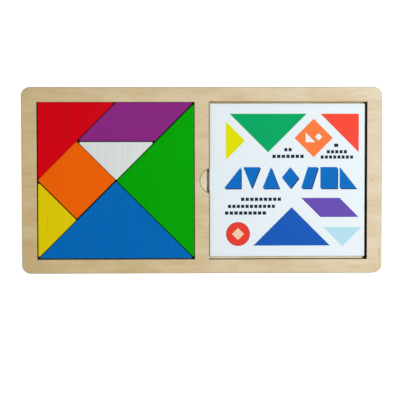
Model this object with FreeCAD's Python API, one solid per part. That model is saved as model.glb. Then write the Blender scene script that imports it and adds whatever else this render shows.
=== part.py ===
import FreeCAD, Part
import math
import os

# A seven-piece dissection puzzle in a flat wooden tray, with its booklet of tasks.
# Millimetres. X runs along the tray, Y across it, Z up from the tray's underside.
# The origin is the centre of the underside.

# Tray: a backing sheet with a cut-out plate glued on top. Its two windows are equally wide
# across the tray; the puzzle's is square and the booklet's a little longer.
window_side = 124.4
booklet_window_length = 125.2
centre_bar = 11.3
end_rim = 12.0
foot_rim = 11.1
head_rim = 11.9
backing_thickness = 3.0
plate_thickness = 6.0
tray_corner_radius = 7.0
tray_edge_break = 0.4

# Finger notch in the centre bar, beside the booklet
notch_radius = 10.0
notch_centre_inset = 3.1

# Puzzle pieces: cut from one square, so they share its side and the width of the saw gap
set_clearance = 0.2
saw_gap = 0.6
piece_corner_radius = 1.0
piece_edge_break = 0.45

# How far the whole set lies from the middle of its window, as parts of its clearance
set_lie_x = 0.2
set_lie_y = 0.9

# Booklet: clearances to its window's four walls, then its paper
spine_clearance = 0.2
fore_edge_clearance = 1.5
head_clearance = 1.3
foot_clearance = 2.3
page_block_thickness = 3.4
cover_thickness = 0.3
spine_fold_depth = 3.9
spine_edge_radius = 0.9
page_fold_slack = 0.1
crease_depth = 0.08

# Two staples of flattened wire through the fold
staple_wire_width = 0.55
staple_wire_thickness = 0.3
staple_crown_length = 12.0
staple_crown_bedding = 0.15
staple_clinch_length = 4.0
staple_bend_radius = 0.3
staple_spacing = 62.0
staple_hole_clearance = 0.05

# Levels
plate_bottom = backing_thickness
plate_top = plate_bottom + plate_thickness
back_cover_top = plate_bottom + cover_thickness
page_top = back_cover_top + page_block_thickness
booklet_top = page_top + cover_thickness
booklet_mid = (plate_bottom + booklet_top) / 2

# Tray plan
tray_length = 2 * end_rim + window_side + centre_bar + booklet_window_length
tray_width = foot_rim + window_side + head_rim
puzzle_window_x = -tray_length / 2 + end_rim
booklet_window_x = puzzle_window_x + window_side + centre_bar
window_foot_y = -tray_width / 2 + foot_rim
notch_centre_x = booklet_window_x + notch_centre_inset
notch_centre_y = window_foot_y + window_side / 2

# Booklet plan
spine_x = booklet_window_x + spine_clearance
fore_edge_x = booklet_window_x + booklet_window_length - fore_edge_clearance
foot_y = window_foot_y + foot_clearance
head_y = window_foot_y + window_side - head_clearance
booklet_height = head_y - foot_y
booklet_centre_y = (head_y + foot_y) / 2
hinge_x = spine_x + spine_fold_depth

# Each piece: its corners in quarters of the square's side from the lower left corner,
# anticlockwise, and where it lies in its saw gap, as parts of half that gap
puzzle_pieces = {
    "large_triangle_blue": ([(0, 0), (4, 0), (2, 2)], (0.0, 0.2)),
    "large_triangle_green": ([(4, 0), (4, 4), (2, 2)], (0.5, -0.4)),
    "medium_triangle_red": ([(0, 4), (0, 2), (2, 4)], (0.1, 0.3)),
    "parallelogram_purple": ([(2, 4), (1, 3), (3, 3), (4, 4)], (-0.1, 0.2)),
    "small_triangle_white": ([(1, 3), (2, 2), (3, 3)], (0.4, 0.0)),
    "square_orange": ([(1, 3), (0, 2), (1, 1), (2, 2)], (-0.4, 1.6)),
    "small_triangle_yellow": ([(0, 2), (0, 0), (1, 1)], (0.1, -0.1)),
}


def save(shape, node):
    shape.exportStep("parts/" + node + ".step")


def polygon_face(points, level):
    corners = [FreeCAD.Vector(x, y, level) for x, y in points]
    return Part.Face(Part.makePolygon(corners + corners[:1]))


def box_at(low, high):
    size = [high[i] - low[i] for i in range(3)]
    return Part.makeBox(size[0], size[1], size[2], FreeCAD.Vector(*low))


def upright_edges(solid):
    return [edge for edge in solid.Edges if edge.BoundBox.ZLength > edge.Length / 2]


def edges_at_level(solid, level):
    found = []
    for edge in solid.Edges:
        box = edge.BoundBox
        if abs(box.ZMin - level) < 1e-6 and abs(box.ZMax - level) < 1e-6:
            found.append(edge)
    return found


# Tray

def tray_sheet(bottom, top):
    """A sheet of the tray's outline, with its four corners rounded."""
    low = (-tray_length / 2, -tray_width / 2, bottom)
    high = (tray_length / 2, tray_width / 2, top)
    sheet = box_at(low, high)
    return sheet.makeFillet(tray_corner_radius, upright_edges(sheet))


def window_cutter(left_x, length):
    low = (left_x, window_foot_y, plate_bottom)
    high = (left_x + length, window_foot_y + window_side, plate_top)
    return box_at(low, high)


def backing_panel():
    sheet = tray_sheet(0.0, plate_bottom)
    return sheet.makeChamfer(tray_edge_break, edges_at_level(sheet, 0.0))


def frame_plate():
    """The plate with two square windows and a round finger notch in the bar between them."""
    sheet = tray_sheet(plate_bottom, plate_top)
    plate = sheet.makeChamfer(tray_edge_break, edges_at_level(sheet, plate_top))
    plate = plate.cut(window_cutter(puzzle_window_x, window_side))
    plate = plate.cut(window_cutter(booklet_window_x, booklet_window_length))
    notch_centre = FreeCAD.Vector(notch_centre_x, notch_centre_y, plate_bottom)
    notch = Part.makeCylinder(notch_radius, plate_thickness, notch_centre)
    return plate.cut(notch)


# Puzzle pieces

def inset_polygon(points, distance):
    """Moves each side of an anticlockwise convex polygon inwards by the same distance."""
    inset = []
    count = len(points)
    for i in range(count):
        corner = FreeCAD.Vector(points[i][0], points[i][1], 0)
        before = FreeCAD.Vector(points[i - 1][0], points[i - 1][1], 0)
        after = FreeCAD.Vector(points[(i + 1) % count][0], points[(i + 1) % count][1], 0)
        to_before = (before - corner).normalize()
        to_after = (after - corner).normalize()
        half_angle = to_before.getAngle(to_after) / 2
        bisector = (to_before + to_after).normalize()
        moved = corner + bisector * (distance / math.sin(half_angle))
        inset.append((moved.x, moved.y))
    return inset


def puzzle_piece(corners, lie):
    """A flat piece as thick as the plate, with rounded corners and eased top and bottom edges."""
    quarter = (window_side - 2 * set_clearance) / 4
    left = puzzle_window_x + (1 + set_lie_x) * set_clearance
    bottom = window_foot_y + (1 + set_lie_y) * set_clearance
    points = [(left + u * quarter, bottom + v * quarter) for u, v in corners]
    half_gap = saw_gap / 2
    outline = inset_polygon(points, half_gap)
    placed = [(x + lie[0] * half_gap, y + lie[1] * half_gap) for x, y in outline]
    block = polygon_face(placed, plate_bottom).extrude(FreeCAD.Vector(0, 0, plate_thickness))
    block = block.makeFillet(piece_corner_radius, upright_edges(block))
    eased = edges_at_level(block, plate_bottom) + edges_at_level(block, plate_top)
    return block.makeChamfer(piece_edge_break, eased)


# Booklet

def line(start, end):
    return Part.LineSegment(FreeCAD.Vector(*start), FreeCAD.Vector(*end)).toShape()


def folded_end(depth, half_height, edge_radius):
    """The folded end towards -X from the hinge line: a pressed flat back between two rounded edges."""
    back_x = hinge_x - depth
    slant = edge_radius * math.sqrt(0.5)
    edges = []
    backs = []
    for side in (1, -1):
        face_z = booklet_mid + side * half_height
        centre_x = back_x + edge_radius
        centre_z = face_z - side * edge_radius
        shoulder = FreeCAD.Vector(centre_x, foot_y, face_z)
        halfway = FreeCAD.Vector(centre_x - slant, foot_y, centre_z + side * slant)
        back = FreeCAD.Vector(back_x, foot_y, centre_z)
        edges.append(line((hinge_x, foot_y, face_z), shoulder))
        edges.append(Part.Arc(shoulder, halfway, back).toShape())
        backs.append(back)
    edges.append(line(*backs))
    return edges


def extrude_along_spine(edges):
    wire = Part.Wire(Part.__sortEdges__(edges))
    return Part.Face(wire).extrude(FreeCAD.Vector(0, booklet_height, 0))


def staple(centre_y, grow):
    """A staple closed round the fold: crown outside, ends clinched in the middle of the sheets.

    grow widens it all round, for the slot that it leaves in the paper.
    """
    thickness = staple_wire_thickness + 2 * grow
    outer_x = spine_x - staple_wire_thickness + staple_crown_bedding - grow
    inner_x = hinge_x + grow
    low_y = centre_y - staple_crown_length / 2 - grow
    high_y = centre_y + staple_crown_length / 2 + grow
    clinch = staple_clinch_length + 2 * grow
    outside = [(outer_x, low_y), (inner_x, low_y), (inner_x, high_y), (outer_x, high_y)]
    inside = [
        (outer_x + thickness, low_y + thickness),
        (inner_x - thickness, low_y + thickness),
        (inner_x - thickness, high_y - thickness),
        (outer_x + thickness, high_y - thickness),
    ]
    bottom = booklet_mid - staple_wire_width / 2 - grow
    upwards = FreeCAD.Vector(0, 0, staple_wire_width + 2 * grow)
    ring = polygon_face(outside, bottom).extrude(upwards)
    ring = ring.makeFillet(staple_bend_radius + staple_wire_thickness, upright_edges(ring))
    core = polygon_face(inside, bottom).extrude(upwards)
    core = core.makeFillet(staple_bend_radius, upright_edges(core))
    gap_low = (inner_x - thickness, low_y + clinch, bottom)
    gap_high = (inner_x, high_y - clinch, bottom + upwards.z)
    return ring.cut([core, box_at(gap_low, gap_high)])


def crease_cutter():
    """A shallow V along the hinge line, pressed into the outside of the cover."""
    left = (hinge_x - crease_depth, foot_y, booklet_top)
    right = (hinge_x + crease_depth, foot_y, booklet_top)
    point = (hinge_x, foot_y, booklet_top - crease_depth)
    return extrude_along_spine([line(left, point), line(point, right), line(right, left)])


def page_block(holes):
    """All the sheets, folded round the spine and trimmed square on the other three sides."""
    inset = cover_thickness + page_fold_slack
    low_hinge = (hinge_x, foot_y, back_cover_top)
    high_hinge = (hinge_x, foot_y, page_top)
    low_fore = (fore_edge_x, foot_y, back_cover_top)
    high_fore = (fore_edge_x, foot_y, page_top)
    fold = folded_end(spine_fold_depth - inset, page_block_thickness / 2, spine_edge_radius - inset)
    trimmed = [
        line(high_hinge, high_fore),
        line(high_fore, low_fore),
        line(low_fore, low_hinge),
    ]
    return extrude_along_spine(fold + trimmed).cut(holes)


def back_cover(holes):
    """The back leaf of the card with the pressed fold of the spine, up to the front leaf's crease."""
    half_inside = page_block_thickness / 2
    half_outside = half_inside + cover_thickness
    outside = folded_end(spine_fold_depth, half_outside, spine_edge_radius)
    inner_depth = spine_fold_depth - cover_thickness
    inside = folded_end(inner_depth, half_inside, spine_edge_radius - cover_thickness)
    straight = [
        line((hinge_x, foot_y, booklet_top), (hinge_x, foot_y, page_top)),
        line((hinge_x, foot_y, back_cover_top), (fore_edge_x, foot_y, back_cover_top)),
        line((fore_edge_x, foot_y, back_cover_top), (fore_edge_x, foot_y, plate_bottom)),
        line((fore_edge_x, foot_y, plate_bottom), (hinge_x, foot_y, plate_bottom)),
    ]
    return extrude_along_spine(outside + inside + straight).cut(holes + [crease_cutter()])


def front_cover():
    """The front leaf, which turns about the crease at the top of the spine."""
    leaf = box_at((hinge_x, foot_y, page_top), (fore_edge_x, head_y, booklet_top))
    return leaf.cut(crease_cutter())


# Build

os.makedirs("parts", exist_ok=True)

save(backing_panel(), "backing_panel")
save(frame_plate(), "frame_plate")

for piece_name, (piece_corners, piece_lie) in puzzle_pieces.items():
    save(puzzle_piece(piece_corners, piece_lie), piece_name)

staple_centres = {
    "staple_lower": booklet_centre_y - staple_spacing / 2,
    "staple_upper": booklet_centre_y + staple_spacing / 2,
}
staple_slots = [staple(centre_y, staple_hole_clearance) for centre_y in staple_centres.values()]
save(page_block(staple_slots), "booklet_pages")
save(back_cover(staple_slots), "booklet_back_cover")
save(front_cover(), "booklet_front_cover")
for staple_name, staple_centre in staple_centres.items():
    save(staple(staple_centre, 0.0), staple_name)
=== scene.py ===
import math
from collections import namedtuple

import bmesh
import bpy
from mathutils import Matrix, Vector


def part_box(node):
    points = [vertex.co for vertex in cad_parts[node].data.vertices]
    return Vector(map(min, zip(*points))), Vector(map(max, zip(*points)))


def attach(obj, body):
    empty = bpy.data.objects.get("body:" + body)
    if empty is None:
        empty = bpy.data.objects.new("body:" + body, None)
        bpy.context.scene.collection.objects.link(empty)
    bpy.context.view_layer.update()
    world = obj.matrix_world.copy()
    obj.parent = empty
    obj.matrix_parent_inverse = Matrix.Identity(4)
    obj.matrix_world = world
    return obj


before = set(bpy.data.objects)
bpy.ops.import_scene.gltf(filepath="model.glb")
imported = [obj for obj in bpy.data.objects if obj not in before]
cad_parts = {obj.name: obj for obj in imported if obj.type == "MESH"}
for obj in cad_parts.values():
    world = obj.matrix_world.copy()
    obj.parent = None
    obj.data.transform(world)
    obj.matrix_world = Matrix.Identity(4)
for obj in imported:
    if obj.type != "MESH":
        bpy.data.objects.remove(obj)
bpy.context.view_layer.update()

MM = 0.001

# Places read from the frame
plate_low, plate_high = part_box("frame_plate")
backing_low, backing_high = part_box("backing_panel")
cover_low, cover_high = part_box("booklet_front_cover")
spine_low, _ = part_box("booklet_back_cover")
pages_low, pages_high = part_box("booklet_pages")

# The tray's outline and cut-outs, as part of its design: two windows and a round finger notch
CORNER_RADIUS = 7.0 * MM
WINDOW_SIDE = 124.4 * MM
BOOKLET_WINDOW_LENGTH = 125.2 * MM
END_RIM = 12.0 * MM
FOOT_RIM = 11.1 * MM
CENTRE_BAR = 11.3 * MM
NOTCH_RADIUS = 10.0 * MM
NOTCH_INSET = 3.1 * MM
puzzle_x = plate_low.x + END_RIM
puzzle_end_x = puzzle_x + WINDOW_SIDE
booklet_x = puzzle_end_x + CENTRE_BAR
booklet_end_x = booklet_x + BOOKLET_WINDOW_LENGTH
window_foot = plate_low.y + FOOT_RIM
window_head = window_foot + WINDOW_SIDE
notch_centre = (booklet_x + NOTCH_INSET, window_foot + WINDOW_SIDE / 2, 0.0)

# Plies of the two sheets, counted from below
PLATE_PLIES = 5
BACKING_PLIES = 3


# Node trees

class Graph:
    """A material's node tree, built by short calls that give back the socket they make."""

    def __init__(self, name):
        self.material = bpy.data.materials.new(name)
        self.material.use_nodes = True
        self.tree = self.material.node_tree
        self.shader = self.tree.nodes["Principled BSDF"]
        self.place = self.node("TexCoord").outputs["Object"]

    def feed(self, socket, value):
        """Links a socket's value to an input, or sets a plain one on it."""
        if isinstance(value, bpy.types.NodeSocket):
            self.tree.links.new(value, socket)
        elif socket.type == "VECTOR":
            socket.default_value = value[:3]
        else:
            socket.default_value = value

    def node(self, kind, inputs=(), **settings):
        made = self.tree.nodes.new("ShaderNode" + kind)
        for key, value in settings.items():
            setattr(made, key, value)
        for key, value in inputs:
            self.feed(made.inputs[key], value)
        return made

    def math(self, operation, first, second=0.0, third=0.0):
        inputs = [(0, first), (1, second), (2, third)]
        return self.node("Math", inputs, operation=operation).outputs[0]

    def plus(self, first, second):
        return self.math("ADD", first, second)

    def minus(self, first, second):
        return self.math("SUBTRACT", first, second)

    def times(self, first, second):
        return self.math("MULTIPLY", first, second)

    def linear(self, value, slope, base):
        """The value times a slope, plus a base."""
        return self.math("MULTIPLY_ADD", value, slope, base)

    def larger(self, first, second):
        return self.math("MAXIMUM", first, second)

    def smaller(self, first, second):
        return self.math("MINIMUM", first, second)

    def absolute(self, value):
        return self.math("ABSOLUTE", value)

    def axes(self, vector):
        parts = self.node("SeparateXYZ", [(0, vector)])
        return parts.outputs[0], parts.outputs[1], parts.outputs[2]

    def stretched(self, factors):
        """The place on the object, scaled along each axis."""
        inputs = [(0, self.place), (1, factors)]
        return self.node("VectorMath", inputs, operation="MULTIPLY").outputs[0]

    def noise(self, factors, detail=2.0, roughness=0.5, distortion=0.0):
        """Noise with so many waves a metre along each axis."""
        inputs = [
            ("Vector", self.stretched(factors)),
            ("Scale", 1.0),
            ("Detail", detail),
            ("Roughness", roughness),
            ("Distortion", distortion),
        ]
        return self.node("TexNoise", inputs).outputs["Fac"]

    def step(self, value, low, high):
        """0 below low and 1 above high, with a smooth rise between; low may be the greater."""
        inputs = [("Value", value), ("From Min", low), ("From Max", high)]
        return self.node("MapRange", inputs, interpolation_type="SMOOTHSTEP").outputs[0]

    def mix(self, factor, first, second):
        """The first colour where the factor is 0, and the second where it is 1."""
        made = self.node("Mix", data_type="RGBA")
        self.feed(made.inputs["Factor"], factor)
        self.feed(made.inputs["A"], first)
        self.feed(made.inputs["B"], second)
        return made.outputs["Result"]

    def tinted(self, colour, mask, amount, tint):
        """The colour, with so much of a tint laid over it where the mask is 1."""
        return self.mix(self.times(mask, amount), colour, tint)

    def scaled_colour(self, colour, factor):
        made = self.node("VectorMath", [("Scale", factor)], operation="SCALE")
        self.feed(made.inputs[0], colour)
        return made.outputs[0]

    def bump(self, height, distance, strength):
        inputs = [("Height", height), ("Distance", distance), ("Strength", strength)]
        self.feed(self.shader.inputs["Normal"], self.node("Bump", inputs).outputs[0])

    def surface(self, colour, roughness, specular):
        self.feed(self.shader.inputs["Base Color"], colour)
        self.feed(self.shader.inputs["Roughness"], roughness)
        self.feed(self.shader.inputs["Specular IOR Level"], specular)
        return self.material


def rgb(red, green, blue):
    return (red, green, blue, 1.0)


# Specular levels, low so that the white surroundings don't veil a colour
PLYWOOD_SPECULAR = 0.05
COLOUR_SPECULAR = 0.03
PAPER_SPECULAR = 0.15
WIRE_SPECULAR = 0.5


# Plywood: its colours

BIRCH = rgb(0.675, 0.553, 0.368)
BIRCH_DARK = rgb(0.53, 0.395, 0.205)
BIRCH_PALE = rgb(0.755, 0.652, 0.49)
CREAM = rgb(0.83, 0.73, 0.5)
CREAM_PALE = rgb(0.9, 0.81, 0.59)
NEUTRAL = rgb(1.0, 1.0, 1.0)
HONEY = rgb(0.882, 0.8, 0.588)
OUTLINE = rgb(0.43, 0.385, 0.31)
SMOKE = rgb(0.69, 0.5, 0.24)
END_GRAIN = rgb(0.43, 0.29, 0.14)
GLUE_LINE = rgb(0.14, 0.075, 0.03)
CHAR = rgb(0.018, 0.012, 0.006)
TOAST = rgb(0.34, 0.19, 0.07)

# Waves a metre along X, Y and Z, for the noises that make up the wood
SWAY_WAVES = (9.0, 22.0, 1.0)
BREAKUP_WAVES = (30.0, 90.0, 1.0)
FIBRE_WAVES = (110.0, 1500.0, 1500.0)
STREAK_WAVES = (90.0, 330.0, 330.0)
BROAD_WAVES = (24.0, 60.0, 1.0)
PORE_WAVES = (420.0, 5200.0, 5200.0)
SIDE_GRAIN_WAVES = (120.0, 120.0, 7000.0)
END_GRAIN_WAVES = (3200.0, 3200.0, 3800.0)
GLUE_WAVES = (400.0, 400.0, 400.0)
FLAME_WAVES = (2600.0, 2600.0, 90.0)
RAGGED_WAVES = (500.0, 500.0, 1.0)
DRIFT_WAVES = (160.0, 160.0, 1.0)

# The growth figure, and how strongly each trait shows
RINGS_PER_METRE = 95.0
RING_SWAY = 90.0 * MM
FIGURE_AMOUNT = 0.16
FIBRE_AMOUNT = 0.26
STREAK_AMOUNT = 0.16
DARKEST_TONE = 0.79
PORE_AMOUNT = 0.3
GLUE_AMOUNT = 0.75
RIM_AMOUNT = 0.55

# Painted shade: the wood is darker and more honey-coloured towards the left end and a little
# towards the foot, following the lamps' falloff
FALLOFF_TINT_IN_MIDDLE = 0.5
FALLOFF_TINT_ALONG = -0.5
FALLOFF_TINT_ACROSS = -0.12

# How strongly the laser's traces and the painted shade show: smoke, browned arrises, painted shade
# on the backing, and burnt arrises, some made darker as painted shade of the shadowed gaps
SMOKE_AMOUNT = 0.6
HALO_AMOUNT = 0.3
GAP_SHADE_AMOUNT = 0.9
NOTCH_BURN = 0.6
PUZZLE_BURN_AND_SHADE = 0.8
FOOT_BURN = 0.15
HEAD_BURN_AND_SHADE = 0.25
SPINE_BURN = 0.25
FORE_EDGE_BURN_AND_SHADE = 0.8

# How wide they are, and the length over which one begins or ends along a wall
RIM_WIDTH = 0.75 * MM
NOTCH_BURN_WIDTH = 0.75 * MM
PUZZLE_LINE_WIDTH = 0.4 * MM
BOOKLET_LINE_WIDTH = 0.3 * MM
HEAD_LINE_EXTRA = 0.35 * MM
FOOT_GAP_SHADE_WIDTH = 0.35 * MM
SIDE_GAP_SHADE_WIDTH = 2.4 * MM
TRACE_FADE = 1.0 * MM

# The wood of each sheet: its even colour, its paler patches, the tint of its painted falloff
# shade, and a shift of its figure
Wood = namedtuple("Wood", "even pale aged shift")
PLATE_WOOD = Wood(BIRCH, BIRCH_PALE, HONEY, 3.0 * MM)
BACKING_WOOD = Wood(CREAM, CREAM_PALE, NEUTRAL, 51.0 * MM)

# Marks on the plate: place, and reach along X and Y, colour and strength
Mark = namedtuple("Mark", "place reach tint amount")
KNOT = Mark(
    (plate_high.x - 7.45 * MM, -0.6 * MM),
    (1.1 * MM, 1.0 * MM), rgb(0.3, 0.17, 0.07), 0.4,
)
STAIN = Mark(
    (plate_high.x - 2.25 * MM, plate_low.y + 15.7 * MM),
    (0.9 * MM, 7.0 * MM), rgb(0.5, 0.36, 0.17), 0.5,
)
BURN_START = Mark(
    (booklet_x + 1.9 * MM, window_head + 0.2 * MM),
    (2.6 * MM, 1.1 * MM), rgb(0.27, 0.14, 0.045), 0.8,
)


def outside_window(graph, left, length):
    """How far a point lies outside a window, given by its left wall and length; below 0 inside."""
    x, y, _ = graph.axes(graph.place)
    middle_x = left + length / 2
    middle_y = window_foot + WINDOW_SIDE / 2
    from_middle_x = graph.absolute(graph.minus(x, middle_x))
    from_middle_y = graph.absolute(graph.minus(y, middle_y))
    past_x = graph.minus(from_middle_x, length / 2)
    past_y = graph.minus(from_middle_y, WINDOW_SIDE / 2)
    return graph.larger(past_x, past_y)


def outside_notch(graph):
    """How far a point lies outside the round notch; below 0 inside it."""
    x, y, _ = graph.axes(graph.place)
    flat = graph.node("CombineXYZ", [(0, x), (1, y), (2, 0.0)]).outputs[0]
    reach = graph.node("VectorMath", [(0, flat), (1, notch_centre)], operation="DISTANCE")
    return graph.minus(reach.outputs["Value"], NOTCH_RADIUS)


def inside_outline(graph):
    """How far a point lies inside the tray's outer outline, a rectangle with rounded corners."""
    x, y, _ = graph.axes(graph.place)
    past_x = graph.plus(graph.absolute(x), CORNER_RADIUS - plate_high.x)
    past_y = graph.plus(graph.absolute(y), CORNER_RADIUS - plate_high.y)
    out_x = graph.larger(past_x, 0.0)
    out_y = graph.larger(past_y, 0.0)
    corner = graph.math("SQRT", graph.linear(out_x, out_x, graph.times(out_y, out_y)))
    side = graph.smaller(graph.larger(past_x, past_y), 0.0)
    return graph.minus(CORNER_RADIUS, graph.plus(corner, side))


def head_smoke(graph):
    """The smoke that settled along the head of the booklet's window while it was cut."""
    x, y, _ = graph.axes(graph.place)
    past_head = graph.minus(y, window_head)
    drift = graph.linear(graph.noise(DRIFT_WAVES), 1.6 * MM, 1.5 * MM)
    settled = graph.step(past_head, drift, 0.3 * MM)
    near = graph.times(settled, graph.step(past_head, -0.1 * MM, 0.0))
    after = graph.step(x, booklet_x - TRACE_FADE, booklet_x + TRACE_FADE)
    before = graph.step(x, booklet_end_x + TRACE_FADE, booklet_end_x - TRACE_FADE)
    return graph.times(near, graph.times(after, before))


def birch_face(graph, wood):
    """The rotary-cut face: growth figure along X, fine fibres, pores and pale flecks."""
    x, y, _ = graph.axes(graph.place)
    sway = graph.noise(SWAY_WAVES, distortion=0.4)
    bend = graph.times(graph.minus(sway, 0.5), RING_SWAY)
    across = graph.plus(graph.plus(y, bend), wood.shift)
    ring = graph.math("FRACT", graph.times(across, RINGS_PER_METRE))
    late = graph.minus(graph.step(ring, 0.35, 0.92), graph.step(ring, 0.92, 1.0))
    breakup = graph.step(graph.noise(BREAKUP_WAVES), 0.35, 0.7)
    figure = graph.times(late, breakup)

    fibre = graph.noise(FIBRE_WAVES, detail=4.0, roughness=0.65)
    streak = graph.noise(STREAK_WAVES)
    broad = graph.noise(BROAD_WAVES)
    colour = graph.mix(graph.step(broad, 0.3, 0.7), wood.even, wood.pale)
    colour = graph.tinted(colour, figure, FIGURE_AMOUNT, BIRCH_DARK)
    tone = graph.linear(fibre, FIBRE_AMOUNT, graph.linear(streak, STREAK_AMOUNT, DARKEST_TONE))
    colour = graph.scaled_colour(colour, tone)

    # Painted shade: darker and more honey-coloured towards the left end and the foot, after the
    # lamps' falloff
    falloff = graph.linear(x, FALLOFF_TINT_ALONG / plate_high.x, FALLOFF_TINT_IN_MIDDLE)
    falloff = graph.linear(y, FALLOFF_TINT_ACROSS / plate_high.y, falloff)
    tint = graph.mix(falloff, NEUTRAL, wood.aged)
    colour = graph.node("VectorMath", [(0, colour), (1, tint)], operation="MULTIPLY").outputs[0]
    pore = graph.step(graph.noise(PORE_WAVES, detail=1.0), 0.7, 0.8)
    return graph.tinted(colour, pore, PORE_AMOUNT, BIRCH_DARK), fibre, pore


def ply_edge(graph, low, high, plies):
    """The cut edge: plies whose grain turns by turns, with glue lines between them."""
    _, _, z = graph.axes(graph.place)
    count = graph.times(graph.minus(z, low), plies / (high - low))
    layer = graph.math("FLOOR", count)
    within = graph.math("FRACT", count)
    crossed = graph.math("MODULO", layer, 2.0)
    normal = graph.node("NewGeometry").outputs["True Normal"]
    normal_x, normal_y, _ = graph.axes(normal)
    turn = graph.minus(graph.absolute(normal_x), graph.absolute(normal_y))
    faces_x = graph.step(turn, -0.6, 0.6)
    shows_ends = graph.absolute(graph.minus(faces_x, crossed))
    streak = graph.noise(SIDE_GRAIN_WAVES, detail=3.0, roughness=0.6)
    speck = graph.noise(END_GRAIN_WAVES, roughness=0.7)
    side_grain = graph.mix(graph.step(streak, 0.3, 0.75), BIRCH_DARK, BIRCH)
    end_grain = graph.mix(graph.step(speck, 0.35, 0.7), END_GRAIN, BIRCH_DARK)
    colour = graph.mix(shows_ends, side_grain, end_grain)
    from_joint = graph.smaller(within, graph.minus(1.0, within))
    wander = graph.noise(GLUE_WAVES)
    glue = graph.step(from_joint, graph.times(wander, 0.13), 0.02)
    return graph.tinted(colour, glue, GLUE_AMOUNT, GLUE_LINE), normal


def outside_cuts(graph):
    """How far a point lies outside the nearest of the two windows and the notch."""
    puzzle = outside_window(graph, puzzle_x, WINDOW_SIDE)
    booklet = outside_window(graph, booklet_x, BOOKLET_WINDOW_LENGTH)
    return graph.smaller(graph.smaller(puzzle, booklet), outside_notch(graph))


def spot(graph, place, reach):
    """1 at a place on the sheet, falling to 0 at its reach along X and along Y."""
    x, y, _ = graph.axes(graph.place)
    along = graph.math("DIVIDE", graph.minus(x, place[0]), reach[0])
    across = graph.math("DIVIDE", graph.minus(y, place[1]), reach[1])
    squares = graph.plus(graph.times(along, along), graph.times(across, across))
    return graph.step(squares, 1.0, 0.1)


def booklet_arris(graph):
    """How dark the booklet window's arris is: burnt least at the foot, and made wider at the head
    and darkest along the right wall as painted shade of the shadowed gaps.
    """
    x, y, _ = graph.axes(graph.place)
    past = graph.minus(x, booklet_end_x)
    past_spine = graph.step(past, -BOOKLET_WINDOW_LENGTH, TRACE_FADE - BOOKLET_WINDOW_LENGTH)
    near_spine = graph.step(past, -0.4 * BOOKLET_WINDOW_LENGTH, -0.8 * BOOKLET_WINDOW_LENGTH)
    by_head = graph.step(y, window_head - TRACE_FADE, window_head)
    by_fore_edge = graph.step(past, -TRACE_FADE, 0.0)
    burn_and_shade = graph.linear(near_spine, SPINE_BURN, graph.linear(by_head, HEAD_BURN_AND_SHADE, FOOT_BURN))
    burn_and_shade = graph.larger(burn_and_shade, graph.times(by_fore_edge, FORE_EDGE_BURN_AND_SHADE))
    width = graph.linear(by_head, HEAD_LINE_EXTRA, BOOKLET_LINE_WIDTH)
    outside = outside_window(graph, booklet_x, BOOKLET_WINDOW_LENGTH)
    arris = graph.times(graph.step(outside, width, 0.05 * MM), past_spine)
    return graph.times(arris, burn_and_shade)


def puzzle_arris(graph):
    """How dark the puzzle window's right arris is, the more the nearer to its foot: laser burn and
    painted shade of the gap beside it.
    """
    x, y, _ = graph.axes(graph.place)
    outside = outside_window(graph, puzzle_x, WINDOW_SIDE)
    by_right = graph.step(x, puzzle_end_x - TRACE_FADE, puzzle_end_x)
    arris = graph.times(graph.step(outside, PUZZLE_LINE_WIDTH, 0.1 * MM), by_right)
    burn_and_shade = graph.step(y, window_head, window_foot + 0.2 * WINDOW_SIDE)
    return graph.times(arris, graph.times(burn_and_shade, PUZZLE_BURN_AND_SHADE))


def plate_marks(graph, face):
    """On the plate: small marks, settled smoke, and arrises browned and burnt by the laser, some
    made darker as painted shade of the shadowed gaps beside them.
    """
    for mark in (KNOT, STAIN, BURN_START):
        face = graph.tinted(face, spot(graph, mark.place, mark.reach), mark.amount, mark.tint)
    face = graph.tinted(face, head_smoke(graph), SMOKE_AMOUNT, SMOKE)
    ragged = graph.linear(graph.noise(RAGGED_WAVES), 0.5 * MM, 0.1 * MM)
    halo = graph.step(outside_cuts(graph), ragged, 0.0)
    face = graph.tinted(face, halo, HALO_AMOUNT, TOAST)
    face = graph.mix(booklet_arris(graph), face, CHAR)
    face = graph.mix(puzzle_arris(graph), face, CHAR)
    notch_line = graph.step(outside_notch(graph), NOTCH_BURN_WIDTH, 0.3 * MM)
    return graph.tinted(face, notch_line, NOTCH_BURN, CHAR)


def backing_marks(graph, face):
    """On the backing's upper side: painted shade, near black under the puzzle and along two walls
    by the booklet.
    """
    x, y, z = graph.axes(graph.place)
    puzzle = outside_window(graph, puzzle_x, WINDOW_SIDE)
    booklet = outside_window(graph, booklet_x, BOOKLET_WINDOW_LENGTH)
    # Painted shade of the shadowed gaps: dark strips along the booklet window's right wall and
    # foot, and under the whole puzzle
    along_right = graph.step(graph.minus(booklet_end_x, x), SIDE_GAP_SHADE_WIDTH, 1.7 * MM)
    along_foot = graph.step(graph.minus(y, window_foot), FOOT_GAP_SHADE_WIDTH, 0.1 * MM)
    along_walls = graph.larger(along_right, along_foot)
    by_walls = graph.times(along_walls, graph.step(booklet, 0.1 * MM, 0.0))
    gap_shade = graph.larger(graph.step(puzzle, 0.0, -0.2 * MM), by_walls)
    gap_shade = graph.times(gap_shade, graph.step(z, backing_low.z, backing_high.z))
    return graph.tinted(face, gap_shade, GAP_SHADE_AMOUNT, CHAR)


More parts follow.
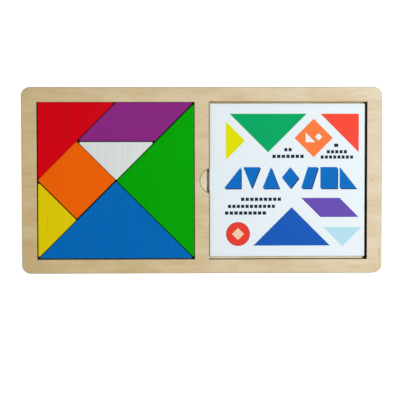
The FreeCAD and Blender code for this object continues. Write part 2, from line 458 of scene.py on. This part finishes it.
def plywood(name, low, high, plies, wood, marks):
    """A sheet's material: its faces, its cut edges, and the walls of its cut-outs."""
    graph = Graph(name)
    face, fibre, pore = birch_face(graph, wood)
    rim_line = graph.step(inside_outline(graph), RIM_WIDTH, 0.35 * MM)
    face = graph.tinted(face, rim_line, RIM_AMOUNT, OUTLINE)
    face = marks(graph, face)
    edge, normal = ply_edge(graph, low, high, plies)
    _, _, up = graph.axes(normal)
    on_edge = graph.step(graph.absolute(up), 0.85, 0.55)

    # Laser heat: black on the walls of the cut-outs and brown on the outer edge
    on_wall = graph.step(outside_cuts(graph), 1.5 * MM, 0.5 * MM)
    flame = graph.noise(FLAME_WAVES)
    char = graph.mix(graph.step(flame, 0.5, 1.3), CHAR, TOAST)
    heat = graph.linear(on_wall, 0.6, graph.linear(flame, 0.2, 0.3))
    edge = graph.mix(graph.smaller(heat, 0.99), edge, char)

    colour = graph.mix(on_edge, face, edge)
    grain = graph.minus(graph.times(fibre, 0.4), pore)
    graph.bump(grain, 0.03 * MM, 0.5)
    roughness = graph.linear(fibre, 0.15, 0.5)
    return graph.surface(colour, roughness, PLYWOOD_SPECULAR)


# Stained wood: its waves a metre along the grain, across it and upward

WANDER_WAVES = (6.0, 90.0, 1.0)
SWELL_WAVES = (30.0, 260.0, 7.0)
FINE_WAVES = (14.0, 1000.0, 1000.0)
OPEN_PORE_WAVES = (380.0, 4600.0, 4600.0)
CLOUD_WAVES = (35.0, 35.0, 35.0)

# The lines of its grain, and how strongly each trait shows
GRAIN_PITCH = 1.5 * MM
GRAIN_WANDER = 14.0
FINE_AMOUNT = 0.36
DARKENED_AMOUNT = 0.2
LINE_AMOUNT = 0.12
CLOUD_AMOUNT = 0.05
OPEN_PORE_AMOUNT = 0.12
EDGE_HIGHLIGHT_AMOUNT = 0.08

# Depths below the top, between which the painted shade on the sides turns from light to full
SIDE_SHADE_START = 0.8 * MM
SIDE_SHADE_FULL = 3.0 * MM

# Each shape's colour, the axis of its grain, the strength of its grain and how dark the painted
# shade on its sides is near its top
Stain = namedtuple("Stain", "colour grain strength scorch")
STAINS = {
    "large_triangle_blue": Stain(rgb(0.001, 0.1395, 0.479), "Y", 1.1, 0.9),
    "large_triangle_green": Stain(rgb(0.001, 0.366, 0.001), "Y", 0.8, 0.9),
    "medium_triangle_red": Stain(rgb(0.658, 0.001, 0.007), "Y", 1.2, 0.1),
    "parallelogram_purple": Stain(rgb(0.248, 0.0222, 0.217), "X", 0.9, 0.7),
    "small_triangle_white": Stain(rgb(0.712, 0.756, 0.742), "Y", 0.9, 0.8),
    "square_orange": Stain(rgb(0.869, 0.125, 0.001), "X", 0.3, 0.4),
    "small_triangle_yellow": Stain(rgb(0.75, 0.604, 0.002), "Y", 1.0, 0.4),
}

# Shapes with one arris darkened as painted shade of the gap beside it: its side, its width and how
# dark it is
Arris = namedtuple("Arris", "side width amount")
ARRISES = {
    "large_triangle_blue": Arris("foot", 0.55 * MM, 0.85),
    "large_triangle_green": Arris("right", 0.45 * MM, 0.7),
    "medium_triangle_red": Arris("left", 0.5 * MM, 0.85),
    "small_triangle_white": Arris("head", 0.28 * MM, 0.8),
    "small_triangle_yellow": Arris("left", 0.5 * MM, 0.85),
}


def by_grain(waves, grain):
    """Waves along the grain, across it and upward, put in the order of X, Y and Z."""
    along, across, upward = waves
    return {"X": (along, across, upward), "Y": (across, along, upward)}[grain]


def grain_lines(graph, grain):
    """Close lines along the grain that swell, fade and wander a little; from -1 to 1."""
    x, y, _ = graph.axes(graph.place)
    across = {"X": y, "Y": x}[grain]
    wander = graph.times(graph.noise(by_grain(WANDER_WAVES, grain)), GRAIN_WANDER)
    wave = graph.math("SINE", graph.linear(across, 2 * math.pi / GRAIN_PITCH, wander))
    swell = graph.noise(by_grain(SWELL_WAVES, grain))
    return graph.times(wave, graph.step(swell, 0.25, 0.75))


def from_side(graph, node, side):
    """How far a point lies inside one side of a node's box."""
    low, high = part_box(node)
    x, y, _ = graph.axes(graph.place)
    if side == "left":
        return graph.minus(x, low.x)
    if side == "right":
        return graph.minus(high.x, x)
    if side == "foot":
        return graph.minus(y, low.y)
    return graph.minus(high.y, y)


def stained_wood(node):
    """Colour soaked into close-grained wood, with a painted highlight on its rounded edges and
    painted shade on its sides.
    """
    colour, grain, strength, side_shade = STAINS[node]
    graph = Graph("stained_" + node)
    streak = graph.noise(by_grain(FINE_WAVES, grain), detail=3.0, roughness=0.7)
    pore = graph.noise(by_grain(OPEN_PORE_WAVES, grain), detail=1.0)
    pore = graph.step(pore, 0.66, 0.78)
    tone = graph.linear(streak, FINE_AMOUNT * strength, 1.0 - DARKENED_AMOUNT * strength)
    tone = graph.linear(grain_lines(graph, grain), LINE_AMOUNT * strength, tone)
    tone = graph.linear(graph.noise(CLOUD_WAVES), CLOUD_AMOUNT, tone)
    tone = graph.linear(pore, -OPEN_PORE_AMOUNT, tone)
    soaked = graph.scaled_colour(colour, tone)

    # Painted highlight: paler on the rounded edges. Painted shade: black on the sides, fully so
    # only below the top
    _, _, z = graph.axes(graph.place)
    _, _, up = graph.axes(graph.node("NewGeometry").outputs["Normal"])
    level = graph.absolute(up)
    on_round = graph.times(graph.step(level, 0.97, 0.8), graph.step(level, 0.1, 0.3))
    soaked = graph.scaled_colour(soaked, graph.linear(on_round, EDGE_HIGHLIGHT_AMOUNT, 1.0))
    deep = graph.step(z, plate_high.z - SIDE_SHADE_START, plate_high.z - SIDE_SHADE_FULL)
    shaded_sides = graph.linear(deep, 1.0 - side_shade, side_shade)
    soaked = graph.mix(graph.times(graph.step(level, 0.25, 0.05), shaded_sides), soaked, CHAR)
    # Painted shade along the arris at one side
    if node in ARRISES:
        side, width, amount = ARRISES[node]
        arris = graph.step(from_side(graph, node, side), width, 0.5 * width)
        soaked = graph.tinted(soaked, arris, amount, CHAR)

    graph.bump(graph.minus(graph.times(streak, 0.6), pore), 0.04 * MM, 0.5)
    roughness = graph.linear(streak, 0.14, 0.46)
    return graph.surface(soaked, roughness, COLOUR_SPECULAR)


# Paper, ink and wire: their colours

CARD = rgb(0.775, 0.857, 0.9)
EDGE_SHADE = rgb(0.2, 0.19, 0.17)
WOOD_REFLECTION = rgb(0.88, 0.74, 0.54)
PAGE = rgb(0.83, 0.85, 0.84)
PAGE_SHADE = rgb(0.56, 0.56, 0.53)
WIRE = rgb(0.62, 0.61, 0.58)

# Their waves a metre along X, Y and Z
TOOTH_WAVES = (900.0, 900.0, 900.0)
UNEVEN_WAVES = (300.0, 300.0, 1.0)
CARD_CLOUD_WAVES = (22.0, 22.0, 22.0)
LAY_WAVES = (70.0, 70.0, 70.0)
WAVER_WAVES = (60.0, 60.0, 300.0)
PAPER_FIBRE_WAVES = (1600.0, 1600.0, 1600.0)
DRAWN_WAVES = (9000.0, 300.0, 9000.0)

# Painted reflection and painted shade on the card: widths and strengths
WOOD_REFLECTION_WIDTH = 1.0 * MM
WOOD_REFLECTION_AMOUNT = 0.55
FORE_EDGE_SHADE_WIDTH = 0.4 * MM
FOOT_EDGE_SHADE_WIDTH = 0.3 * MM
FOOT_EDGE_SHADE_AMOUNT = 0.25

# Sheets from the middle of the block to its top, and how the gaps between them look
HALF_THE_SHEETS = 17.0
SHEET_WAVER = 0.05
GAP_AMOUNT = 0.75


def coated(graph, colour, tooth, specular):
    """A coated surface with a fine tooth, bare or printed."""
    graph.bump(tooth, 0.01 * MM, 0.4)
    return graph.surface(colour, graph.linear(tooth, 0.1, 0.48), specular)


def card(name):
    """Coated white card, with a painted warm reflection of the wood at its spine and painted shade
    at its fore edge and foot.
    """
    graph = Graph(name)
    x, y, _ = graph.axes(graph.place)
    tooth = graph.noise(TOOTH_WAVES, detail=3.0)
    tone = graph.linear(graph.noise(CARD_CLOUD_WAVES), 0.03, graph.linear(tooth, 0.02, 0.975))
    # Painted reflection: a warm tint of the wood on the shaded rounding of the spine
    wood_reflection = graph.step(graph.minus(x, spine_low.x), WOOD_REFLECTION_WIDTH, 0.4 * MM)
    colour = graph.tinted(graph.scaled_colour(CARD, tone), wood_reflection, WOOD_REFLECTION_AMOUNT, WOOD_REFLECTION)
    # Painted shade: a dark uneven line along the fore edge and a fainter one along the foot,
    # beside the shadowed gaps
    uneven = graph.linear(graph.noise(UNEVEN_WAVES), 0.3, 0.5)
    at_fore_edge = graph.step(graph.minus(cover_high.x, x), FORE_EDGE_SHADE_WIDTH, 0.15 * MM)
    at_foot = graph.step(graph.minus(y, cover_low.y), FOOT_EDGE_SHADE_WIDTH, 0.1 * MM)
    at_foot = graph.times(at_foot, FOOT_EDGE_SHADE_AMOUNT)
    edge_shade = graph.larger(graph.times(at_fore_edge, uneven), at_foot)
    return coated(graph, graph.mix(edge_shade, colour, EDGE_SHADE), tooth, PAPER_SPECULAR)


def page_stack(name):
    """White paper whose trimmed edges show the sheets, bent round the fold at the spine."""
    graph = Graph(name)
    x, _, z = graph.axes(graph.place)
    middle = (pages_low.z + pages_high.z) / 2
    half = (pages_high.z - pages_low.z) / 2
    fold_depth = cover_low.x - pages_low.x
    height = graph.math("DIVIDE", graph.minus(z, middle), half)
    into_fold = graph.math("DIVIDE", graph.minus(cover_low.x, x), fold_depth)
    into_fold = graph.larger(into_fold, 0.0)
    squares = graph.linear(height, height, graph.times(into_fold, into_fold))
    depth = graph.linear(graph.noise(WAVER_WAVES), SHEET_WAVER, graph.math("SQRT", squares))
    sheet = graph.math("FRACT", graph.times(depth, HALF_THE_SHEETS))
    gap = graph.step(graph.absolute(graph.minus(sheet, 0.5)), 0.3, 0.48)
    _, _, up = graph.axes(graph.node("NewGeometry").outputs["True Normal"])
    on_edge = graph.step(graph.absolute(up), 0.7, 0.3)
    fibre = graph.noise(PAPER_FIBRE_WAVES, detail=3.0)
    paper = graph.scaled_colour(PAGE, graph.linear(fibre, 0.04, 0.97))
    shade = graph.times(graph.times(gap, on_edge), GAP_AMOUNT)
    graph.bump(graph.minus(fibre, graph.times(shade, 3.0)), 0.02 * MM, 0.5)
    return graph.surface(graph.mix(shade, paper, PAGE_SHADE), 0.7, PAPER_SPECULAR)


def ink(name, colour):
    """A solid field of printing ink, with the faint unevenness of its lay on the card."""
    graph = Graph(name)
    tooth = graph.noise(TOOTH_WAVES, detail=3.0)
    tone = graph.linear(graph.noise(LAY_WAVES), 0.06, graph.linear(tooth, 0.04, 0.95))
    return coated(graph, graph.scaled_colour(colour, tone), tooth, COLOUR_SPECULAR)


def wire(name):
    """Bright steel, with the fine lines of its drawing along Y."""
    graph = Graph(name)
    drawn = graph.noise(DRAWN_WAVES)
    colour = graph.scaled_colour(WIRE, graph.linear(drawn, 0.25, 0.8))
    graph.feed(graph.shader.inputs["Metallic"], 1.0)
    graph.bump(drawn, 0.01 * MM, 0.5)
    return graph.surface(colour, graph.linear(drawn, 0.2, 0.25), WIRE_SPECULAR)


# Dressing the frame's own nodes

SOFT_EDGE = 0.18 * MM
SOFT_SEGMENTS = 3
SHARP_ANGLE = math.radians(28)
WELD_REACH = 0.001 * MM


def dress(node, material):
    for material_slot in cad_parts[node].material_slots:
        material_slot.material = material


def soften(node):
    """Rounds a node's sharp edges a little, on the shown copy of its mesh only."""
    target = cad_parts[node]
    weld = target.modifiers.new("weld", "WELD")
    weld.merge_threshold = WELD_REACH
    bevel = target.modifiers.new("bevel", "BEVEL")
    bevel.width = SOFT_EDGE
    bevel.segments = SOFT_SEGMENTS
    bevel.limit_method = "ANGLE"
    bevel.angle_limit = SHARP_ANGLE
    bevel.harden_normals = True


dress("frame_plate", plywood(
    "plate_plywood", plate_low.z, plate_high.z, PLATE_PLIES, PLATE_WOOD, plate_marks,
))
dress("backing_panel", plywood(
    "backing_plywood", backing_low.z, backing_high.z, BACKING_PLIES, BACKING_WOOD, backing_marks,
))
for shape_node in STAINS:
    dress(shape_node, stained_wood(shape_node))
    soften(shape_node)
dress("booklet_front_cover", card("front_card"))
dress("booklet_back_cover", card("back_card"))
dress("booklet_pages", page_stack("pages"))
dress("staple_lower", wire("lower_wire"))
dress("staple_upper", wire("upper_wire"))


# Print on the front cover: fields of ink, in millimetres from the crease and from the cover's foot

INK_DEPTH = 0.02 * MM
DISC_SIDES = 48


def on_cover(point, layer):
    x = cover_low.x + point[0] * MM
    y = cover_low.y + point[1] * MM
    return Vector((x, y, cover_high.z + layer * INK_DEPTH))


def print_field(name, colour, outlines, layer=0):
    """One ink: thin prisms of the given outlines, lying on the cover and turning with it."""
    mesh = bmesh.new()
    for outline in outlines:
        below = [mesh.verts.new(on_cover(point, layer)) for point in outline]
        above = [mesh.verts.new(vertex.co + Vector((0, 0, INK_DEPTH))) for vertex in below]
        mesh.faces.new(above)
        mesh.faces.new(below[::-1])
        for i in range(len(outline)):
            j = (i + 1) % len(outline)
            mesh.faces.new((below[i], below[j], above[j], above[i]))
    bmesh.ops.recalc_face_normals(mesh, faces=mesh.faces)
    data = bpy.data.meshes.new(name)
    mesh.to_mesh(data)
    mesh.free()
    data.materials.append(ink(name + "_ink", colour))
    field = bpy.data.objects.new(name, data)
    bpy.context.scene.collection.objects.link(field)
    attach(field, "front_cover")


def moved(outline, x, y):
    return [(point[0] + x, point[1] + y) for point in outline]


def disc(x, y, radius):
    turns = [2 * math.pi * i / DISC_SIDES for i in range(DISC_SIDES)]
    return [(x + radius * math.cos(turn), y + radius * math.sin(turn)) for turn in turns]


# Inks
GREEN_PRINT = rgb(0.002, 0.386, 0.121)
YELLOW_PRINT = rgb(0.755, 0.755, 0.002)
ORANGE_PRINT = rgb(0.94, 0.205, 0.054)
RED_PRINT = rgb(0.908, 0.0715, 0.043)
PURPLE_PRINT = rgb(0.134, 0.079, 0.43)
BLUE_PRINT = rgb(0.01, 0.101, 0.48)
PALE_PRINT = rgb(0.456, 0.717, 0.837)
WHITE_PRINT = rgb(0.82, 0.86, 0.86)
BAND_PRINT = rgb(0.004, 0.15, 0.52)
BAND_SHADE_PRINT = rgb(0.02, 0.06, 0.22)
DARK_PRINT = rgb(0.012, 0.02, 0.05)
SPOT_PRINT = rgb(0.8, 0.05, 0.03)
SPOT_RIM_PRINT = rgb(0.5, 0.03, 0.02)
SPOT_MIDDLE_PRINT = rgb(0.88, 0.62, 0.42)

# The seven shapes of the puzzle, scattered over the cover: name, ink, a place on the cover, and
# corners in units from it; the unit is the height of the smallest triangle
PRINT_UNIT = 15.25
PRINTED_SHAPES = [
    ("print_large_green", GREEN_PRINT, (42.85, 82.4), [(0, 0), (2, 2), (-2, 2)]),
    ("print_small_yellow", YELLOW_PRINT, (9.3, 91.65), [(0, -1), (1, 0), (0, 1)]),
    ("print_square_orange", ORANGE_PRINT, (78.95, 93.75), [(0, -1), (1, 0), (0, 1), (-1, 0)]),
    ("print_medium_red", RED_PRINT, (114.8, 112.9), [(0, 0), (-2, 0), (0, -2)]),
    ("print_parallelogram_purple", PURPLE_PRINT, (84.4, 31.0), [(0, 0), (2, 0), (1, 1), (-1, 1)]),
    ("print_large_blue", BLUE_PRINT, (61.55, 38.85), [(0, 0), (-2, -2), (2, -2)]),
    ("print_small_pale", PALE_PRINT, (102.0, 7.8), [(0, 0), (1, 1), (-1, 1)]),
]
for field_name, colour, (x, y), corners in PRINTED_SHAPES:
    shape = [(x + u * PRINT_UNIT, y + v * PRINT_UNIT) for u, v in corners]
    print_field(field_name, colour, [shape])

# Two plain white shapes on the printed square
WHITE_TRIANGLE = [(72.6, 90.4), (80.2, 90.4), (72.6, 98.0)]
WHITE_SQUARE = [(80.0, 94.6), (82.9, 91.7), (85.8, 94.6), (82.9, 97.5)]
print_field("print_white_shapes", WHITE_PRINT, [WHITE_TRIANGLE, WHITE_SQUARE], layer=1)

# A band of seven plain shapes across the middle, each with a darker edge at its right and below
BAND_SIDES = (7.8, 113.0)
BAND_UPWARD = (53.9, 70.7)
BAND_GAP = 2.0
BAND_SHADE = (0.9, -0.9)
BAND_FORMS = [
    [(0, 0), (1, 0), (1, 1)],
    [(0, 1), (0.5, 0), (1, 1)],
    [(0, 0), (1, 0), (0.5, 1)],
    [(0.5, 0), (1, 0.5), (0.5, 1), (0, 0.5)],
    [(0, 0), (0.6, 0), (1, 1), (0.4, 1)],
    [(0, 0), (1, 0), (1, 1), (0, 1)],
    [(0, 0), (1, 0), (0, 1)],
]


def fitted(form, across, upward):
    """A form given in a unit square, brought to a span across and a span upward."""
    width = across[1] - across[0]
    height = upward[1] - upward[0]
    return [(across[0] + u * width, upward[0] + v * height) for u, v in form]


def row_spans(left, right, count, gap):
    """So many equal spans between two sides, with a gap between them."""
    width = (right - left + gap) / count - gap
    starts = [left + i * (width + gap) for i in range(count)]
    return [(start, start + width) for start in starts]


band_spans = row_spans(*BAND_SIDES, len(BAND_FORMS), BAND_GAP)
band = [fitted(form, span, BAND_UPWARD) for form, span in zip(BAND_FORMS, band_spans)]
print_field("print_band_edge", BAND_SHADE_PRINT, [moved(shape, *BAND_SHADE) for shape in band])
print_field("print_band", BAND_PRINT, band, layer=1)

# Dotted rows of small squares where a cover has small print: left, right, middle height
DOT_SIDE = 2.6
DOT_GAP = 0.95
UNIT_SQUARE = [(0, 0), (1, 0), (1, 1), (0, 1)]
DOTTED_ROWS = [
    (55.7, 61.5, 84.5), (46.2, 71.1, 79.2),
    (95.2, 98.5, 87.9), (89.4, 105.4, 82.8), (84.6, 110.3, 78.6),
    (21.3, 53.1, 45.2), (11.0, 48.3, 39.6), (8.6, 41.2, 34.3),
]


def dotted_row(left, right, middle):
    count = round((right - left + DOT_GAP) / (DOT_SIDE + DOT_GAP))
    upward = (middle - DOT_SIDE / 2, middle + DOT_SIDE / 2)
    return [fitted(UNIT_SQUARE, span, upward) for span in row_spans(left, right, count, DOT_GAP)]


dots = [dot for row in DOTTED_ROWS for dot in dotted_row(*row)]
print_field("print_dotted_rows", DARK_PRINT, dots)

# A plain round spot with a rim and a pale diamond
SPOT_CENTRE = (18.95, 17.64)
SPOT_RADIUS = 8.9
SPOT_RIM_RADIUS = 9.48
DIAMOND_REACH = 4.8
diamond = [(-DIAMOND_REACH, 0), (0, -DIAMOND_REACH), (DIAMOND_REACH, 0), (0, DIAMOND_REACH)]
print_field("print_spot_rim", SPOT_RIM_PRINT, [disc(*SPOT_CENTRE, SPOT_RIM_RADIUS)])
print_field("print_spot", SPOT_PRINT, [disc(*SPOT_CENTRE, SPOT_RADIUS)], layer=1)
print_field("print_spot_diamond", SPOT_MIDDLE_PRINT, [moved(diamond, *SPOT_CENTRE)], layer=2)


# Stage, light and camera

# A round floor a little below the tray, so that the two don't lie in one plane
FLOOR_RADIUS = 4.0
FLOOR_SIDES = 64
FLOOR_DROP = 0.1 * MM
FLOOR_WAVES = (6.0, 6.0, 6.0)
FLOOR_PAPER = rgb(0.8, 0.8, 0.8)
FLOOR_PAPER_PALE = rgb(0.82, 0.82, 0.82)
FLOOR_GLOW = 0.77

# The world's strength as a light, and where it is seen
WORLD_COLOUR = rgb(0.96, 0.98, 1.0)
WORLD_LIGHT = 0.2
WORLD_SEEN = 1.0

# The camera looks almost straight down; its turn is in degrees, its lens and sensor in millimetres
CAMERA_PLACE = (-15.0 * MM, 12.7 * MM, 809.0 * MM)
CAMERA_TURN = (-2.018, -0.943, -0.082)
CAMERA_LENS = 91.13
CAMERA_SENSOR = 36.0

# Lamps over the origin, all aimed at it: name, place, size, power and colour
LAMPS = [
    ("key", (0.49, 0.06, 0.9), (0.5, 0.12), 8.4, (1.0, 0.99, 0.98)),
    ("fill", (-0.8, 0.0, 0.8), (0.8, 0.8), 1.8, (0.97, 0.99, 1.0)),
]


def area_lamp(name, place, size, power, colour):
    data = bpy.data.lights.new(name, "AREA")
    data.shape = "RECTANGLE"
    data.size, data.size_y = size
    data.energy = power
    data.color = colour
    lamp = bpy.data.objects.new(name, data)
    lamp.location = place
    lamp.rotation_euler = (-Vector(place)).to_track_quat("-Z", "Y").to_euler()
    bpy.context.scene.collection.objects.link(lamp)


def seen_directly(tree):
    """1 for rays that show the background as it is: from the camera, a gloss or a glass."""
    path = tree.nodes.new("ShaderNodeLightPath")
    total = path.outputs["Is Camera Ray"]
    for kind in ("Is Glossy Ray", "Is Transmission Ray"):
        add = tree.nodes.new("ShaderNodeMath")
        add.operation = "ADD"
        add.use_clamp = True
        tree.links.new(total, add.inputs[0])
        tree.links.new(path.outputs[kind], add.inputs[1])
        total = add.outputs[0]
    return total


def floor_material():
    """White paper that also gives some light of its own to the camera, so that it shows white."""
    graph = Graph("floor_white")
    colour = graph.mix(graph.noise(FLOOR_WAVES), FLOOR_PAPER, FLOOR_PAPER_PALE)
    graph.surface(colour, 0.9, 0.0)
    graph.feed(graph.shader.inputs["Emission Color"], rgb(1.0, 1.0, 1.0))
    glow = graph.times(seen_directly(graph.tree), FLOOR_GLOW)
    graph.feed(graph.shader.inputs["Emission Strength"], glow)
    return graph.material


def make_floor():
    mesh = bmesh.new()
    bmesh.ops.create_circle(mesh, cap_ends=True, segments=FLOOR_SIDES, radius=FLOOR_RADIUS)
    data = bpy.data.meshes.new("floor")
    mesh.to_mesh(data)
    mesh.free()
    data.materials.append(floor_material())
    floor = bpy.data.objects.new("floor", data)
    floor.location.z = backing_low.z - FLOOR_DROP
    bpy.context.scene.collection.objects.link(floor)


def make_world():
    """White where it is seen, and dim as a light, so that the lamps give the shape."""
    world = bpy.data.worlds.new("studio")
    world.use_nodes = True
    tree = world.node_tree
    background = tree.nodes["Background"]
    background.inputs["Color"].default_value = WORLD_COLOUR
    strength = tree.nodes.new("ShaderNodeMapRange")
    tree.links.new(seen_directly(tree), strength.inputs["Value"])
    strength.inputs["To Min"].default_value = WORLD_LIGHT
    strength.inputs["To Max"].default_value = WORLD_SEEN
    tree.links.new(strength.outputs[0], background.inputs["Strength"])
    bpy.context.scene.world = world


def make_camera():
    data = bpy.data.cameras.new("camera")
    data.lens = CAMERA_LENS
    data.sensor_width = CAMERA_SENSOR
    camera = bpy.data.objects.new("camera", data)
    camera.location = CAMERA_PLACE
    camera.rotation_euler = [math.radians(turn) for turn in CAMERA_TURN]
    bpy.context.scene.collection.objects.link(camera)
    bpy.context.scene.camera = camera


make_floor()
make_world()
for lamp_settings in LAMPS:
    area_lamp(*lamp_settings)
make_camera()
bpy.context.scene.view_settings.view_transform = "Standard"
